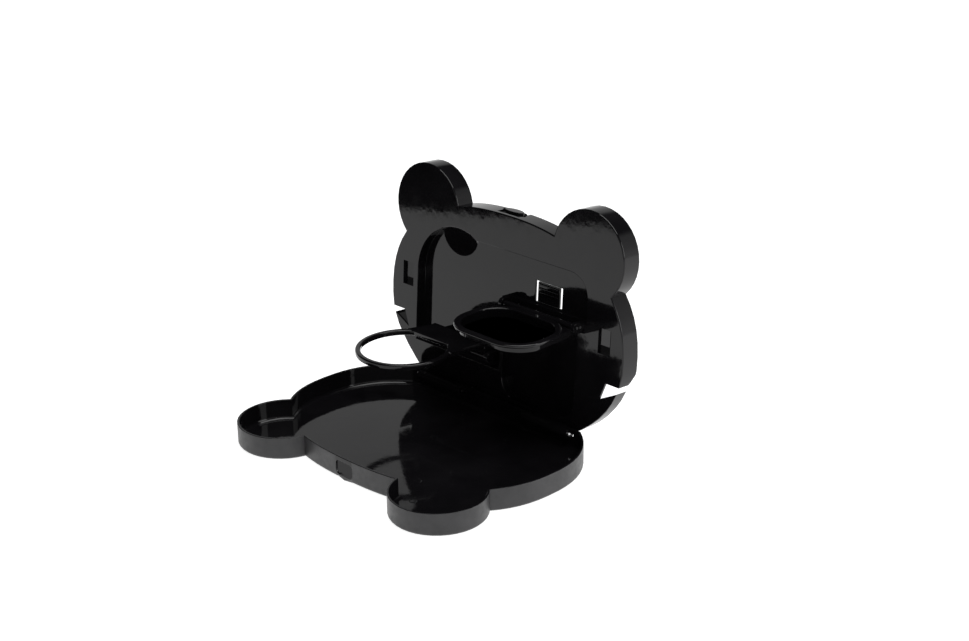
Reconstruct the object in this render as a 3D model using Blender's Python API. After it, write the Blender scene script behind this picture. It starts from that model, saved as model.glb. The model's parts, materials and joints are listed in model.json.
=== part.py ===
"""Folding seat-back tray with a bear-head outline, a cup ring and a square holder.

Units are metres, +Z is up and the tray lies flat on z = 0.  X runs along the tray hinge.
Two drawing planes share the same (u, v) coordinates, with v = 0 near the chin:
the tray plane is horizontal, and the shell plane stands up and leans back a little.
"""
import math

import bmesh
import bpy
from mathutils import Matrix, Vector

# --- Head outline -------------------------------------------------------------------------
HEAD_HALF_WIDTH = 0.1400
HEAD_CENTRE_V = 0.0917
HEAD_ABOVE = 0.0985            # height of the forehead above the widest line
HEAD_BELOW = 0.0955            # depth of the chin curve below the widest line
HEAD_POWER = 2.37              # 2 would be an ellipse, more is squarer
EAR_OFFSET = 0.0958
EAR_V = 0.1746
EAR_RADIUS = 0.0404
SHELL_EAR_V = 0.1760           # the shell's ears stand a little higher and smaller than the tray's
SHELL_EAR_RADIUS = 0.0394
SHELL_JAW_POWER = 1.95         # the shell's jaw is rounder than the tray's

# --- Walls and general fits ---------------------------------------------------------------
WALL = 0.0020
RUN_GAP = 0.0003               # side gap between pieces that turn on each other
PIN_FIT = 0.0003               # radial gap round a pin

# --- Tray ---------------------------------------------------------------------------------
TRAY_HEIGHT = 0.0197
LATCH_HOLE_HALF_WIDTH = 0.0102
LATCH_HOLE_LOW = 0.0030
LATCH_HOLE_HIGH = 0.0160
LATCH_HOLE_CORNER = 0.0040

# --- Tray hinge ---------------------------------------------------------------------------
LEAN = math.radians(3.8)       # how far the shell leans back
HINGE_V = 0.0209
HINGE_DROP = 0.0059            # axis below the tray's rim
SHUT_GAP = 0.0005              # rim to shell face when the tray is shut
HINGE_CENTRE_U = 0.0650
SHELL_KNUCKLE_LENGTH = 0.0380
TRAY_KNUCKLE_LENGTH = 0.0076
KNUCKLE_RADIUS = 0.0050
KNUCKLE_WEB = 0.0080           # height of the web behind the shell's knuckle
KNUCKLE_CLEARANCE = 0.0004
HINGE_PIN_RADIUS = 0.0015
CHIN_BEHIND_AXIS = 0.0012

# --- Back shell ---------------------------------------------------------------------------
SHELL_DEPTH = 0.0184
LOW_DEPTH = 0.0120             # shell depth below the hooks
DEPTH_CHANGE_V = 0.0740
DEPTH_CHANGE_RUN = 0.0080
HOOK_NOTCH_U = 0.1167          # foot of the notch's inner end
HOOK_NOTCH_V = 0.0587
HOOK_NOTCH_TOP_U = 0.1225      # top of its inner end
HOOK_NOTCH_TOP_V = 0.0740
HOOK_RISE = math.radians(27.0)     # the claw's upper edge rises outwards

# --- Pocket that holds the folded ring ------------------------------------------------------
POCKET_DEPTH = 0.0095
POCKET_LEFT = -0.1065
POCKET_ARC_RADIUS = 0.0500
POCKET_ARC_V = 0.1150
POCKET_BOTTOM = 0.0500
POCKET_STEP_U = -0.0004        # right side of the pocket beside the ring
POCKET_STEP_V = 0.1180         # underside of the pocket above the square holder
POCKET_RIGHT = 0.0980
POCKET_TOP = 0.1592
POCKET_CORNER = 0.0200
DIMPLE_U = -0.0620
DIMPLE_V = 0.1610
DIMPLE_RADIUS = 0.0240
DIMPLE_DEPTH = 0.0045

# --- Recess that holds the folded square holder ---------------------------------------------
RECESS_CENTRE_U = 0.0460
RECESS_HALF_WIDTH = 0.0427
RECESS_DEPTH = 0.0065
RECESS_BOTTOM = 0.0280
RECESS_CORNER = 0.0180

# --- Cup ring -------------------------------------------------------------------------------
RING_CENTRE_U = -0.0570
RING_OUTER = 0.0424
RING_BAR = 0.0048
RING_HEIGHT = 0.0050
RING_REACH = 0.0553            # hinge axis to ring centre
RING_RISE = 0.0105             # ring's mid plane above the hinge axis
RING_AXIS_V = 0.0603
RING_AXIS_FRONT = 0.0040       # axis in front of the shell face
RING_WEB_CHORD = 0.0310        # front edge of the web behind the ring's centre
RING_HUB_LEFT = -0.0220
RING_HUB_RIGHT = 0.0450
RING_BARREL_RADIUS = 0.0032
RING_RISER = 0.0040
RING_LUG_RADIUS = 0.0042
RING_LUG_WIDTH = 0.0044
RING_PIN_RADIUS = 0.0013

# --- Square holder --------------------------------------------------------------------------
SQUARE_LIP_OVERHANG = 0.0044   # lip beyond the recess on each side
SQUARE_LIP_HEIGHT = 0.0030
SQUARE_BODY_HEIGHT = 0.0060
SQUARE_LENGTH = 0.0692
SQUARE_BACK_GAP = 0.0020       # lip's back edge in front of the axis
SQUARE_WALL = 0.0015           # body wall under the lip
SQUARE_CORNER = 0.0300
SQUARE_SIDE_FIT = 0.0004       # body to recess wall when folded
SQUARE_NECK = 0.0070           # body length that narrows to pass the lugs
SQUARE_AXIS_V = 0.1135
SQUARE_AXIS_FRONT = 0.0019
SQUARE_LUG_RADIUS = 0.0045
SQUARE_LUG_WIDTH = 0.0038
SQUARE_LUG_SEAT = 0.0014       # part of a lug's width that stands in the recess wall
SQUARE_BARREL_RADIUS = 0.0030
SQUARE_PIN_RADIUS = 0.00125
SQUARE_PIN_DEPTH = 0.0100

# --- Snap tongue ----------------------------------------------------------------------------
TONGUE_HALF_WIDTH = 0.0125
TONGUE_SLIT = 0.0030           # at each side
TONGUE_TOP_GAP = 0.0006
TONGUE_BOTTOM = 0.1195
TONGUE_LENGTH = 0.0180
TONGUE_RIBS = 3
TONGUE_RIB_PITCH = 0.0035
TONGUE_RIB_SIZE = 0.0012

# --- Top latch ------------------------------------------------------------------------------
LATCH_HALF_WIDTH = 0.0125
LATCH_ARM_HALF_WIDTH = 0.0100
LATCH_CLAW_HALF_WIDTH = 0.0080
LATCH_AXIS_BELOW_TOP = 0.0017
LATCH_AXIS_DEPTH = 0.0120
LATCH_BARREL_RADIUS = 0.0032
LATCH_ARM_THICKNESS = 0.0030
LATCH_ARM_CLEARANCE = 0.0005   # closed arm above the forehead
LATCH_CLAW_THICKNESS = 0.0030
LATCH_CLAW_ENTRY = 0.0006      # claw tip past the inside of the tray wall
LATCH_PIN_RADIUS = 0.0010
LATCH_BOSS_WIDTH = 0.0042
LATCH_BOSS_HALF_DEPTH = 0.0035
LATCH_BOSS_DROP = 0.0062
LATCH_PAD_HALF_LENGTH = 0.0105
LATCH_PAD_HALF_DEPTH = 0.0046
LATCH_PAD_RISE = 0.0016        # pad's top above the forehead

# --- Strap windows --------------------------------------------------------------------------
STRAP_CENTRE_U = 0.11875
STRAP_CENTRE_V = 0.1090
STRAP_WIDTH = 0.0135
STRAP_HEIGHT = 0.0220
STRAP_BOX_DEPTH = 0.0170
STRAP_BAR_RADIUS = 0.0015
STRAP_BAR_SEAT = 0.0010        # how far a bar's end enters the window's wall

# --- Smoothness -----------------------------------------------------------------------------
HEAD_STEPS = 16
EAR_STEPS = 22
CORNER_STEPS = 8
ROUND_STEPS = 24
RING_STEPS = 56
BORE_STEPS = 16
OVERLAP = 0.0010               # how far joined shapes run into each other
THROUGH = 0.0050               # how far cutters run past what they cut

# --- Worked-out places ----------------------------------------------------------------------
HINGE_Z = TRAY_HEIGHT - HINGE_DROP
HINGE_FRONT = HINGE_DROP + SHUT_GAP
TRAY_CHIN_V = HINGE_V - CHIN_BEHIND_AXIS
FOREHEAD_V = HEAD_CENTRE_V + HEAD_ABOVE
SHELL_Y = -HINGE_V - HINGE_V * math.sin(LEAN) + HINGE_FRONT * math.cos(LEAN)
SHELL_Z = HINGE_Z - HINGE_V * math.cos(LEAN) - HINGE_FRONT * math.sin(LEAN)
SHELL_CHIN_V = (LOW_DEPTH * math.sin(LEAN) - SHELL_Z) / math.cos(LEAN)
FRONT_REACH = EAR_V + EAR_RADIUS
SHELL_TOP_V = SHELL_EAR_V + SHELL_EAR_RADIUS
BACK_REACH = SHELL_Y + SHELL_TOP_V * math.sin(LEAN) + SHELL_DEPTH * math.cos(LEAN)
CENTRE_SHIFT = (FRONT_REACH - BACK_REACH) / 2      # puts the middle of the footprint on y = 0

COLLECTION = "bear_seat_back_tray"


# --- Outlines -------------------------------------------------------------------------------
def arc(centre_x, centre_y, radius, start, end, steps):
    """Points along an arc, angles in degrees, both ends included."""
    points = []
    for step in range(steps + 1):
        angle = math.radians(start + (end - start) * step / steps)
        points.append((centre_x + radius * math.cos(angle), centre_y + radius * math.sin(angle)))
    return points


def rounded_box(left, right, bottom, top, lower, upper):
    """A rectangle with separate radii for its two lower and two upper corners."""
    points = []
    for x, y, sign_x, sign_y, radius, start in (
        (right, bottom, -1, 1, lower, 270),
        (right, top, -1, -1, upper, 0),
        (left, top, 1, -1, upper, 90),
        (left, bottom, 1, 1, lower, 180),
    ):
        if radius <= 0:
            points.append((x, y))
        else:
            points += arc(x + sign_x * radius, y + sign_y * radius, radius, start, start + 90, CORNER_STEPS)
    return points


def head_point(angle, inset, jaw_power):
    """A point of the head curve; -90 degrees is the chin and 90 the forehead."""
    power = jaw_power if angle < 0 else HEAD_POWER
    across = max(math.cos(angle), 0.0) ** (2 / power)
    along = abs(math.sin(angle)) ** (2 / power)
    if angle < 0:
        return ((HEAD_HALF_WIDTH - inset) * across, HEAD_CENTRE_V - (HEAD_BELOW - inset) * along)
    return ((HEAD_HALF_WIDTH - inset) * across, HEAD_CENTRE_V + (HEAD_ABOVE - inset) * along)


def ear_crossing(low, high, inset, ear):
    """The angle between low and high at which the head curve meets the ear circle."""
    def outside(angle):
        u, v = head_point(angle, inset, HEAD_POWER)
        return math.hypot(u - EAR_OFFSET, v - ear[0]) > ear[1] - inset

    low_side = outside(low)
    for _ in range(40):
        middle = (low + high) / 2
        if outside(middle) == low_side:
            low = middle
        else:
            high = middle
    return low


def head_outline(chin_v, inset=0.0, ear=(EAR_V, EAR_RADIUS), jaw_power=HEAD_POWER):
    """Bear head whose chin is cut flat at chin_v; ear holds the ears' height and radius."""
    chin = chin_v + inset
    ear_v, ear_radius = ear

    def from_ear(angle):
        u, v = head_point(angle, inset, jaw_power)
        return math.hypot(u - EAR_OFFSET, v - ear_v)

    ear_angle = min((step * math.pi / 360 for step in range(181)), key=from_ear)
    first = ear_crossing(0.0, ear_angle, inset, ear)
    second = ear_crossing(math.pi / 2, ear_angle, inset, ear)
    start = -math.asin(((HEAD_CENTRE_V - chin) / (HEAD_BELOW - inset)) ** (jaw_power / 2))
    right = []
    for step in range(HEAD_STEPS):
        right.append(head_point(start + (first - start) * step / HEAD_STEPS, inset, jaw_power))
    low_u, low_v = head_point(first, inset, jaw_power)
    high_u, high_v = head_point(second, inset, jaw_power)
    low_angle = math.degrees(math.atan2(low_v - ear_v, low_u - EAR_OFFSET))
    high_angle = math.degrees(math.atan2(high_v - ear_v, high_u - EAR_OFFSET)) % 360
    right += arc(EAR_OFFSET, ear_v, ear_radius - inset, low_angle, high_angle, EAR_STEPS)
    top_steps = HEAD_STEPS // 2
    for step in range(1, top_steps):
        right.append(head_point(second + (math.pi / 2 - second) * step / top_steps, inset, jaw_power))
    left = [(-u, v) for u, v in reversed(right)]
    return right + [(0.0, FOREHEAD_V - inset)] + left


def shell_outline(inset=0.0):
    """The shell's own version of the head."""
    return head_outline(SHELL_CHIN_V, inset, (SHELL_EAR_V, SHELL_EAR_RADIUS), SHELL_JAW_POWER)


def pocket_outline(grow=0.0):
    """Pocket for the ring: round at the top left, with an arm to the right above the holder."""
    radius = POCKET_ARC_RADIUS + grow
    left = POCKET_LEFT - grow
    right = POCKET_RIGHT + grow
    top = POCKET_TOP + grow
    step_u = POCKET_STEP_U + grow
    step_v = POCKET_STEP_V - grow
    meet = math.degrees(math.asin((top - POCKET_ARC_V) / radius))
    points = [(left, POCKET_BOTTOM - grow), (step_u, POCKET_BOTTOM - grow), (step_u, step_v), (right, step_v)]
    corner = POCKET_CORNER
    points += arc(right - corner, top - corner, corner, 0, 90, CORNER_STEPS)
    points += arc(POCKET_LEFT + POCKET_ARC_RADIUS, POCKET_ARC_V, radius, meet, 180, ROUND_STEPS)
    return points


def recess_outline(grow=0.0):
    """Recess for the square holder, open at the top into the ring's pocket."""
    return rounded_box(
        RECESS_CENTRE_U - RECESS_HALF_WIDTH - grow,
        RECESS_CENTRE_U + RECESS_HALF_WIDTH + grow,
        RECESS_BOTTOM - grow,
        POCKET_STEP_V + OVERLAP,
        RECESS_CORNER + grow,
        0,
    )


# --- Making and joining shapes --------------------------------------------------------------
def reset_scene():
    """Empty the file and return the collections for parts and cutters."""
    for item in list(bpy.data.objects):
        bpy.data.objects.remove(item, do_unlink=True)
    parts = bpy.data.collections.new(COLLECTION)
    cutters = bpy.data.collections.new(COLLECTION + "_cutters")
    bpy.context.scene.collection.children.link(parts)
    bpy.context.scene.collection.children.link(cutters)
    return parts, cutters


PARTS, CUTTERS = reset_scene()


def mesh_object(name, mesh, collection):
    """Link a mesh as an object."""
    item = bpy.data.objects.new(name, mesh)
    collection.objects.link(item)
    return item


def slab(name, loops, low, high, collection=None):
    """A flat outline in XY with optional holes, from z = low to z = high."""
    curve = bpy.data.curves.new(name, "CURVE")
    curve.dimensions = "2D"
    curve.fill_mode = "BOTH"
    curve.extrude = (high - low) / 2
    for loop in loops:
        spline = curve.splines.new("POLY")
        spline.points.add(len(loop) - 1)
        for point, (x, y) in zip(spline.points, loop):
            point.co = (x, y, 0.0, 1.0)
        spline.use_cyclic_u = True
    item = bpy.data.objects.new(name + "_curve", curve)
    CUTTERS.objects.link(item)
    bpy.context.view_layer.update()
    mesh = bpy.data.meshes.new_from_object(item.evaluated_get(bpy.context.evaluated_depsgraph_get()))
    bpy.data.objects.remove(item, do_unlink=True)
    bpy.data.curves.remove(curve)
    work = bmesh.new()
    work.from_mesh(mesh)
    bmesh.ops.remove_doubles(work, verts=work.verts, dist=0.00001)
    bmesh.ops.recalc_face_normals(work, faces=work.faces)
    work.to_mesh(mesh)
    work.free()
    mesh.transform(Matrix.Translation((0.0, 0.0, (low + high) / 2)))
    return mesh_object(name, mesh, collection or PARTS)


def side_slab(name, loop, left, right, collection=None):
    """An outline drawn in (y, z), from x = left to x = right."""
    item = slab(name, [loop], left, right, collection)
    item.data.transform(Matrix(((0, 0, 1, 0), (1, 0, 0, 0), (0, 1, 0, 0), (0, 0, 0, 1))))
    return item


def box(name, low, high, collection=None):
    """A box between two corners."""
    mesh = bpy.data.meshes.new(name)
    work = bmesh.new()
    bmesh.ops.create_cube(work, size=1.0)
    size = Vector(high) - Vector(low)
    middle = (Vector(high) + Vector(low)) / 2
    bmesh.ops.transform(work, matrix=Matrix.Translation(middle) @ Matrix.Diagonal((*size, 1.0)), verts=work.verts)
    work.to_mesh(mesh)
    work.free()
    return mesh_object(name, mesh, collection or PARTS)


def rod(name, start, end, radius, collection=None, steps=ROUND_STEPS, twist=0.0):
    """A cylinder from start to end, its sides turned by twist about its own axis."""
    mesh = bpy.data.meshes.new(name)
    work = bmesh.new()
    along = Vector(end) - Vector(start)
    bmesh.ops.create_cone(
        work, cap_ends=True, segments=steps, radius1=radius, radius2=radius, depth=along.length
    )
    turn = Vector((0, 0, 1)).rotation_difference(along).to_matrix().to_4x4()
    middle = (Vector(start) + Vector(end)) / 2
    turn = turn @ Matrix.Rotation(twist, 4, "Z")
    bmesh.ops.transform(work, matrix=Matrix.Translation(middle) @ turn, verts=work.verts)
    work.to_mesh(mesh)
    work.free()
    return mesh_object(name, mesh, collection or PARTS)


def bore(name, start, end, pin_radius):
    """A cutter for a pin's hole, its corners turned away from those of the piece round it."""
    return rod(name, start, end, pin_radius + PIN_FIT, CUTTERS, BORE_STEPS, math.pi / BORE_STEPS)


def ball(name, centre, radius):
    """A sphere among the cutters."""
    mesh = bpy.data.meshes.new(name)
    work = bmesh.new()
    bmesh.ops.create_uvsphere(work, u_segments=64, v_segments=48, radius=radius)
    bmesh.ops.transform(work, matrix=Matrix.Translation(centre), verts=work.verts)
    work.to_mesh(mesh)
    work.free()
    return mesh_object(name, mesh, CUTTERS)


def combine(target, tool, operation):
    """Add an exact Boolean to target; the tool becomes a hidden helper that moves with it."""
    if tool.name in PARTS.objects:
        PARTS.objects.unlink(tool)
        CUTTERS.objects.link(tool)
    tool.hide_render = True
    tool.display_type = "WIRE"
    tool.parent = target
    step = target.modifiers.new(tool.name, "BOOLEAN")
    step.object = tool
    step.operation = operation
    step.solver = "EXACT"


def add(target, tool):
    """Join a tool to the target."""
    combine(target, tool, "UNION")


def cut(target, tool):
    """Cut a tool from the target."""
    combine(target, tool, "DIFFERENCE")


def keep_common(target, tool):
    """Keep what the target and the tool share."""
    combine(target, tool, "INTERSECT")


def smooth(item, degrees=35.0):
    """Shade round faces smoothly and keep sharp edges sharp."""
    item.data.shade_smooth()
    item.data.set_sharp_from_angle(angle=math.radians(degrees))


def plastic(name, colour, roughness, metallic=0.0):
    """A Principled BSDF material."""
    material = bpy.data.materials.new(name)
    material.use_nodes = True
    shader = material.node_tree.nodes["Principled BSDF"]
    shader.inputs["Base Color"].default_value = (*colour, 1.0)
    shader.inputs["Roughness"].default_value = roughness
    shader.inputs["Metallic"].default_value = metallic
    return material


def finish(item, material):
    """Give a finished piece its material and shading."""
    item.data.materials.clear()
    item.data.materials.append(material)
    smooth(item)
    return item


# --- Frames ---------------------------------------------------------------------------------
def frame_matrices():
    """World matrices of the tray plane and of the shell plane."""
    tray = Matrix.Translation((0.0, CENTRE_SHIFT, 0.0)) @ Matrix.Rotation(math.pi, 4, "Z")
    shell = Matrix.Translation((0.0, SHELL_Y + CENTRE_SHIFT, SHELL_Z))
    shell = shell @ Matrix.Rotation(math.pi / 2 - LEAN, 4, "X")
    return tray, shell


TRAY_FRAME, SHELL_FRAME = frame_matrices()


def pivot(name, matrix):
    """An empty on a joint axis, or at the origin of a frame."""
    empty = bpy.data.objects.new(name, None)
    empty.empty_display_size = 0.01
    empty.matrix_world = matrix
    PARTS.objects.link(empty)
    return empty


def hang(item, empty, offset=(0.0, 0.0, 0.0)):
    """Parent a piece to an empty, with the piece's own zero at -offset from it."""
    item.parent = empty
    item.location = -Vector(offset)


# --- Back shell -----------------------------------------------------------------------------
def shell_pockets(shell):
    """Pocket and recess: walled tubs behind the face, then the hollows themselves."""
    tub = slab("pocket_tub", [pocket_outline(WALL)], -POCKET_DEPTH - WALL, -OVERLAP)
    add(shell, tub)
    recess_tub = slab("recess_tub", [recess_outline(WALL)], -RECESS_DEPTH - WALL, -OVERLAP)
    add(shell, recess_tub)
    rise = (DIMPLE_RADIUS ** 2 - DIMPLE_DEPTH ** 2) / (2 * DIMPLE_DEPTH)
    centre = (DIMPLE_U, DIMPLE_V, -POCKET_DEPTH + rise)
    reach = rise + DIMPLE_DEPTH
    boss = slab("dimple_boss", [pocket_outline(WALL)], -SHELL_DEPTH, -POCKET_DEPTH - OVERLAP)
    keep_common(boss, ball("dimple_boss_ball", centre, reach + WALL))
    add(shell, boss)
    cut(shell, slab("pocket_hollow", [pocket_outline()], -POCKET_DEPTH, THROUGH))
    cut(shell, slab("recess_hollow", [recess_outline()], -RECESS_DEPTH, THROUGH))
    hollow = slab("dimple_hollow", [pocket_outline()], -SHELL_DEPTH, -POCKET_DEPTH + OVERLAP)
    keep_common(hollow, ball("dimple_hollow_ball", centre, reach))
    cut(shell, hollow)


def shell_hooks(shell):
    """Side notches whose lower edges rise to hooks, and the thinner cheek below them."""
    for side, name in ((-1, "left"), (1, "right")):
        far_u = HOOK_NOTCH_TOP_U + HEAD_HALF_WIDTH / 2
        claw_u = HEAD_HALF_WIDTH - WALL
        claw_v = HOOK_NOTCH_V + (claw_u - HOOK_NOTCH_U) * math.tan(HOOK_RISE)
        high_v = max(HOOK_NOTCH_TOP_V, claw_v + WALL / 2)
        loop = [(HOOK_NOTCH_U, HOOK_NOTCH_V), (claw_u, claw_v), (far_u, claw_v), (far_u, high_v),
                (HOOK_NOTCH_TOP_U, high_v)]
        loop = [(side * u, v) for u, v in loop]
        cut(shell, slab("hook_notch_" + name, [loop], -SHELL_DEPTH - THROUGH, THROUGH))
    rear = -SHELL_DEPTH - THROUGH
    slope = DEPTH_CHANGE_RUN / (SHELL_DEPTH - LOW_DEPTH)
    profile = [
        (SHELL_CHIN_V - THROUGH, -LOW_DEPTH),
        (SHELL_CHIN_V - THROUGH, rear),
        (DEPTH_CHANGE_V + slope * (-rear - LOW_DEPTH), rear),
        (DEPTH_CHANGE_V, -LOW_DEPTH),
    ]
    cut(shell, side_slab("cheek_step", profile, -HEAD_HALF_WIDTH - THROUGH, HEAD_HALF_WIDTH + THROUGH))


def lug_profile(axis_v, axis_z, radius, back):
    """A lug round an axis, running back to z = back."""
    return [(axis_v - radius, back), (axis_v + radius, back)] + arc(axis_v, axis_z, radius, 0, 180, 10)


def shell_hinges(shell):
    """Knuckles for the tray, and lugs for the ring and the square holder."""
    half = SHELL_KNUCKLE_LENGTH / 2
    for side, name in ((-1, "left"), (1, "right")):
        middle = side * HINGE_CENTRE_U
        add(shell, rod("shell_knuckle_" + name, (middle - half, HINGE_V, HINGE_FRONT),
                       (middle + half, HINGE_V, HINGE_FRONT), KNUCKLE_RADIUS))
        add(shell, box("shell_knuckle_web_" + name, (middle - half, HINGE_V - KNUCKLE_WEB / 2, -OVERLAP),
                       (middle + half, HINGE_V + KNUCKLE_WEB / 2, HINGE_FRONT)))
        reach = half + THROUGH
        cut(shell, bore("shell_knuckle_bore_" + name, (middle - reach, HINGE_V, HINGE_FRONT),
                        (middle + reach, HINGE_V, HINGE_FRONT), HINGE_PIN_RADIUS))
    for name, left, right in ring_lug_spans():
        profile = lug_profile(RING_AXIS_V, RING_AXIS_FRONT, RING_LUG_RADIUS, -POCKET_DEPTH - OVERLAP)
        add(shell, side_slab("ring_lug_" + name, profile, left, right))
    for name, left, right in square_lug_spans():
        profile = lug_profile(SQUARE_AXIS_V, SQUARE_AXIS_FRONT, SQUARE_LUG_RADIUS, -RECESS_DEPTH - OVERLAP)
        add(shell, side_slab("square_lug_" + name, profile, left, right))
    left, right = ring_pin_span()
    cut(shell, bore("ring_lug_bore", (left - THROUGH, RING_AXIS_V, RING_AXIS_FRONT),
                    (right + RUN_GAP, RING_AXIS_V, RING_AXIS_FRONT), RING_PIN_RADIUS))
    for name, left, right in square_pin_spans():
        cut(shell, bore("square_lug_bore_" + name, (left - THROUGH, SQUARE_AXIS_V, SQUARE_AXIS_FRONT),
                        (right + THROUGH, SQUARE_AXIS_V, SQUARE_AXIS_FRONT), SQUARE_PIN_RADIUS))


def shell_top(shell):
    """Gap in the top wall for the latch, with a boss for its pin on each side."""
    gap = LATCH_HALF_WIDTH + RUN_GAP
    low = FOREHEAD_V - LATCH_BOSS_DROP
    for side, name in ((-1, "left"), (1, "right")):
        edges = sorted((side * gap, side * (gap + LATCH_BOSS_WIDTH)))
        add(shell, box("latch_boss_" + name,
                       (edges[0], low, -LATCH_AXIS_DEPTH - LATCH_BOSS_HALF_DEPTH),
                       (edges[1], FOREHEAD_V - WALL / 2, -LATCH_AXIS_DEPTH + LATCH_BOSS_HALF_DEPTH)))
    cut(shell, box("latch_gap", (-gap, low - THROUGH, -SHELL_DEPTH - THROUGH),
                   (gap, FOREHEAD_V + THROUGH, -2 * WALL)))
    left, right = latch_pin_span()
    axis_v = FOREHEAD_V - LATCH_AXIS_BELOW_TOP
    cut(shell, bore("latch_boss_bore", (left - OVERLAP, axis_v, -LATCH_AXIS_DEPTH),
                    (right + OVERLAP, axis_v, -LATCH_AXIS_DEPTH), LATCH_PIN_RADIUS))


def shell_straps(shell):
    """Strap windows with a short wall behind each, and seats for their bars."""
    for side, name in ((-1, "left"), (1, "right")):
        middle = side * STRAP_CENTRE_U
        half_u = STRAP_WIDTH / 2
        half_v = STRAP_HEIGHT / 2
        add(shell, box("strap_box_" + name,
                       (middle - half_u - WALL, STRAP_CENTRE_V - half_v - WALL, -STRAP_BOX_DEPTH),
                       (middle + half_u + WALL, STRAP_CENTRE_V + half_v + WALL, -OVERLAP)))
        cut(shell, box("strap_window_" + name,
                       (middle - half_u, STRAP_CENTRE_V - half_v, -STRAP_BOX_DEPTH - THROUGH),
                       (middle + half_u, STRAP_CENTRE_V + half_v, THROUGH)))
        reach = half_v + STRAP_BAR_SEAT + RUN_GAP
        depth = -STRAP_BOX_DEPTH / 2 - OVERLAP
        cut(shell, bore("strap_seat_" + name, (middle, STRAP_CENTRE_V - reach, depth),
                        (middle, STRAP_CENTRE_V + reach, depth), STRAP_BAR_RADIUS))


def build_shell(material):
    """The upright moulding: face, rim, pockets, hooks, lugs and windows."""
    shell = slab("back_shell", [shell_outline()], -SHELL_DEPTH, 0.0)
    cut(shell, slab("shell_hollow", [shell_outline(WALL)], -SHELL_DEPTH - THROUGH, -WALL))
    shell_pockets(shell)
    shell_hooks(shell)
    shell_straps(shell)
    shell_hinges(shell)
    shell_top(shell)
    window_half = TONGUE_HALF_WIDTH + TONGUE_SLIT
    cut(shell, box("tongue_window",
                   (RECESS_CENTRE_U - window_half, TONGUE_BOTTOM, -POCKET_DEPTH - WALL - OVERLAP),
                   (RECESS_CENTRE_U + window_half, TONGUE_BOTTOM + TONGUE_LENGTH + TONGUE_TOP_GAP,
                    -POCKET_DEPTH + OVERLAP)))
    hang(finish(shell, material), pivot("shell_plane", SHELL_FRAME))


# --- Tray -----------------------------------------------------------------------------------
def build_tray(material):
    """The flat moulding: floor, rim, hinge knuckles and the latch hole."""
    tray = slab("tray", [head_outline(TRAY_CHIN_V)], 0.0, TRAY_HEIGHT)
    cut(tray, slab("tray_hollow", [head_outline(TRAY_CHIN_V, WALL)], WALL, TRAY_HEIGHT + THROUGH))
    half = SHELL_KNUCKLE_LENGTH / 2
    clear = KNUCKLE_RADIUS + KNUCKLE_CLEARANCE
    for side, name in ((-1, "left"), (1, "right")):
        middle = side * HINGE_CENTRE_U
        outer = half + RUN_GAP + TRAY_KNUCKLE_LENGTH
        add(tray, rod("tray_knuckles_" + name, (middle - outer, HINGE_V, HINGE_Z),
                      (middle + outer, HINGE_V, HINGE_Z), KNUCKLE_RADIUS))
        cut(tray, box("knuckle_gap_" + name,
                      (middle - half - RUN_GAP, HINGE_V - clear, HINGE_Z - clear),
                      (middle + half + RUN_GAP, HINGE_V + clear, TRAY_HEIGHT + THROUGH)))
        cut(tray, bore("tray_bore_" + name, (middle - outer - THROUGH, HINGE_V, HINGE_Z),
                       (middle + outer + THROUGH, HINGE_V, HINGE_Z), HINGE_PIN_RADIUS))
    loop = rounded_box(-LATCH_HOLE_HALF_WIDTH, LATCH_HOLE_HALF_WIDTH, LATCH_HOLE_LOW, LATCH_HOLE_HIGH,
                       LATCH_HOLE_CORNER, LATCH_HOLE_CORNER)
    hole = slab("latch_hole", [loop], -THROUGH, THROUGH)
    hole.data.transform(Matrix.Translation((0.0, FOREHEAD_V, 0.0)) @ Matrix.Rotation(math.pi / 2, 4, "X"))
    cut(tray, hole)
    axis = (0.0, HINGE_V, HINGE_Z)
    empty = pivot("tray_axis", TRAY_FRAME @ Matrix.Translation(axis))
    hang(finish(tray, material), empty, axis)


def build_hinge_pins(material, parent):
    """Two steel pins that join the tray's knuckles to the shell's."""
    half = SHELL_KNUCKLE_LENGTH / 2 + RUN_GAP + TRAY_KNUCKLE_LENGTH - RUN_GAP
    for side, name in ((-1, "left"), (1, "right")):
        middle = side * HINGE_CENTRE_U
        pin = rod("tray_hinge_pin_" + name, (middle - half, HINGE_V, HINGE_FRONT),
                  (middle + half, HINGE_V, HINGE_FRONT), HINGE_PIN_RADIUS)
        hang(finish(pin, material), parent)


# --- Cup ring -------------------------------------------------------------------------------
def ring_hub_span():
    """Left and right ends of the ring's hub along the hinge."""
    return RING_CENTRE_U + RING_HUB_LEFT, RING_CENTRE_U + RING_HUB_RIGHT


def ring_lug_spans():
    """Where the shell's two ring lugs lie along the hinge."""
    left, right = ring_hub_span()
    return (
        ("left", left - RUN_GAP - RING_LUG_WIDTH, left - RUN_GAP),
        ("right", right + RUN_GAP, right + RUN_GAP + RING_LUG_WIDTH),
    )


def ring_pin_span():
    """Ends of the ring's pin."""
    spans = ring_lug_spans()
    return spans[0][1] + RUN_GAP, spans[1][2] - WALL


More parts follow.
